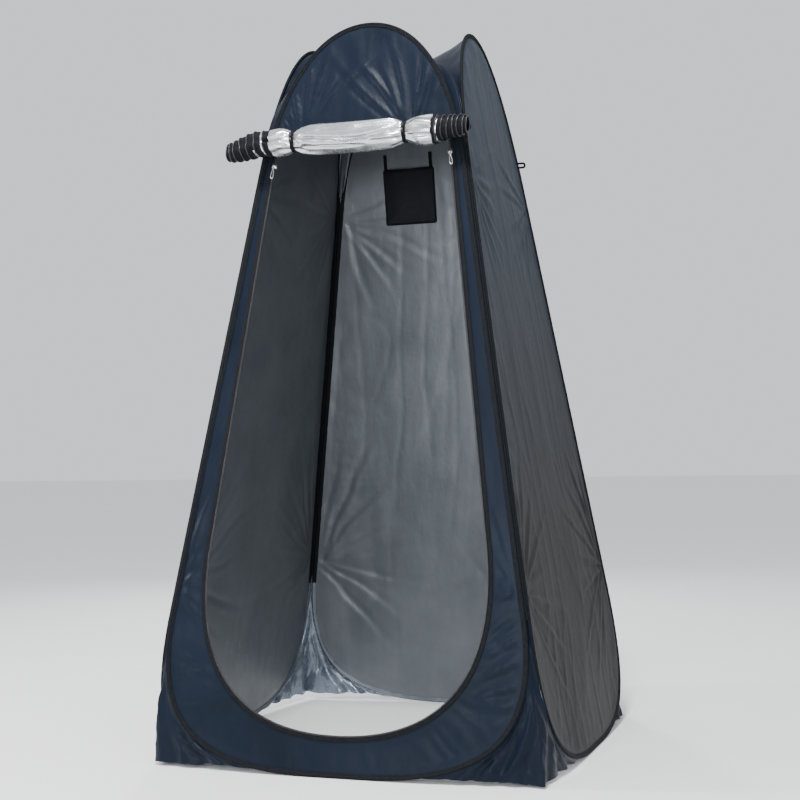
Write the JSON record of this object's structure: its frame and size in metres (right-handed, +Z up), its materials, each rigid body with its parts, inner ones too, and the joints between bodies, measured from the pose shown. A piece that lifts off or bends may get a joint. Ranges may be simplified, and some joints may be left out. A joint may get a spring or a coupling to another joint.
{
  "type": "privacy shower tent",
  "caption": "Pop-up privacy tent with leaning walls on sprung wire hoops, a zipped doorway with its door rolled up, and an open floor.",
  "frame": {"origin": "on the ground, under the middle of the roof", "axes": "+X to the right seen from the door, +Y from the door to the back wall, +Z up"},
  "size_m": [1.063, 1.063, 1.901],
  "materials": {
    "navy_polyester": "thin plain-woven polyester with a soft sheen, silver-coated inside",
    "silver_coating": "silver-coated side of the polyester, satin",
    "black_binding": "matt woven binding tape",
    "black_webbing": "matt ribbed webbing",
    "black_thread": "sewing thread",
    "black_mesh": "dull woven pocket cloth",
    "zip_nylon": "nylon coil on woven tape",
    "toggle_plastic": "moulded, matt",
    "spring_steel": "cold-drawn wire",
    "zinc": "bright plated"
  },
  "bodies": {
    "back_panel": {"back_hoop_wire": "spring_steel", "back_hoop_ferrule": "zinc", "back_hoop_sleeve": "black_binding", "back_wall": "navy_polyester", "back_roof": "navy_polyester", "back_gusset_left": "navy_polyester", "back_gusset_right": "navy_polyester", "corner_seam_back_left": "black_thread", "corner_seam_back_right": "black_thread", "guy_loop_back_left": "black_webbing", "guy_loop_back_right": "black_webbing", "pocket": "black_mesh", "pocket_strap_left": "black_webbing", "pocket_strap_right": "black_webbing"},
    "left_panel": {"left_hoop_wire": "spring_steel", "left_hoop_ferrule": "zinc", "left_hoop_sleeve": "black_binding", "left_wall": "navy_polyester", "left_roof": "navy_polyester", "left_gusset_left": "navy_polyester", "left_gusset_right": "navy_polyester", "corner_seam_front_left": "black_thread"},
    "right_panel": {"right_hoop_wire": "spring_steel", "right_hoop_ferrule": "zinc", "right_hoop_sleeve": "black_binding", "right_wall": "navy_polyester", "right_roof": "navy_polyester", "right_gusset_left": "navy_polyester", "right_gusset_right": "navy_polyester", "corner_seam_front_right": "black_thread"},
    "front_panel": {"front_hoop_wire": "spring_steel", "front_hoop_ferrule": "zinc", "front_hoop_sleeve": "black_binding", "front_wall": "navy_polyester", "front_roof": "navy_polyester", "front_gusset_left": "navy_polyester", "front_gusset_right": "navy_polyester", "door_zip": "zip_nylon", "door_seam_tape": "black_binding", "guy_loop_front_left": "black_webbing", "guy_loop_front_right": "black_webbing"},
    "rolled_door": {"door_roll": "silver_coating", "roll_tie_left": "black_webbing", "roll_tie_right": "black_webbing", "roll_toggle_left": "toggle_plastic", "roll_toggle_right": "toggle_plastic", "door_zip_left": "zip_nylon", "door_zip_right": "zip_nylon"},
    "slider_left": {"zip_slider_left": "zinc"},
    "slider_right": {"zip_slider_right": "zinc"},
    "pull_left": {"zip_pull_left": "zinc"},
    "pull_right": {"zip_pull_right": "zinc"}
  },
  "joints": [
    {"name": "fold_left", "type": "hinge", "parent": "back_panel", "child": "left_panel", "pos_m": [-0.524, 0.524, 0], "axis": [0.1556, -0.1556, 0.9755], "range_deg": [0, 84], "stiffness_Nm_per_rad": 4, "springref_deg": -34.38, "deforming": ["back_roof", "left_roof"]},
    {"name": "fold_right", "type": "hinge", "parent": "back_panel", "child": "right_panel", "pos_m": [0.524, 0.524, 0], "axis": [-0.1556, -0.1556, 0.9755], "range_deg": [0, 83.58], "deforming": ["right_roof"]},
    {"name": "fold_front", "type": "hinge", "parent": "left_panel", "child": "front_panel", "pos_m": [-0.524, -0.524, 0], "axis": [0.1556, 0.1556, 0.9755], "range_deg": [-83.58, 0], "deforming": ["front_roof"]},
    {"name": "door_roll_swing", "type": "hinge", "parent": "front_panel", "child": "rolled_door", "pos_m": [0, -0.27542, 1.60926], "axis": [-1, 0, 0], "range_deg": [0, 65]},
    {"name": "zip_slide_left", "type": "slide", "parent": "front_panel", "child": "slider_left", "axis": [-0.1201, -0.1564, -0.9804], "range_m": [0, 0.99]},
    {"name": "zip_pull_left", "type": "hinge", "parent": "slider_left", "child": "pull_left", "pos_m": [-0.24211, -0.2908, 1.53129], "axis": [-0.9928, 0.0189, 0.1186], "range_deg": [0, 95]},
    {"name": "zip_slide_right", "type": "slide", "parent": "front_panel", "child": "slider_right", "axis": [0.1201, -0.1564, -0.9804], "range_m": [0, 0.99]},
    {"name": "zip_pull_right", "type": "hinge", "parent": "slider_right", "child": "pull_right", "pos_m": [0.24211, -0.2908, 1.53129], "axis": [-0.9928, -0.0189, -0.1186], "range_deg": [0, 95]}
  ],
  "couplings": [
    {"joint": "fold_right", "follows": "fold_left", "ratio": 0.995},
    {"joint": "fold_front", "follows": "fold_left", "ratio": -0.995}
  ]
}
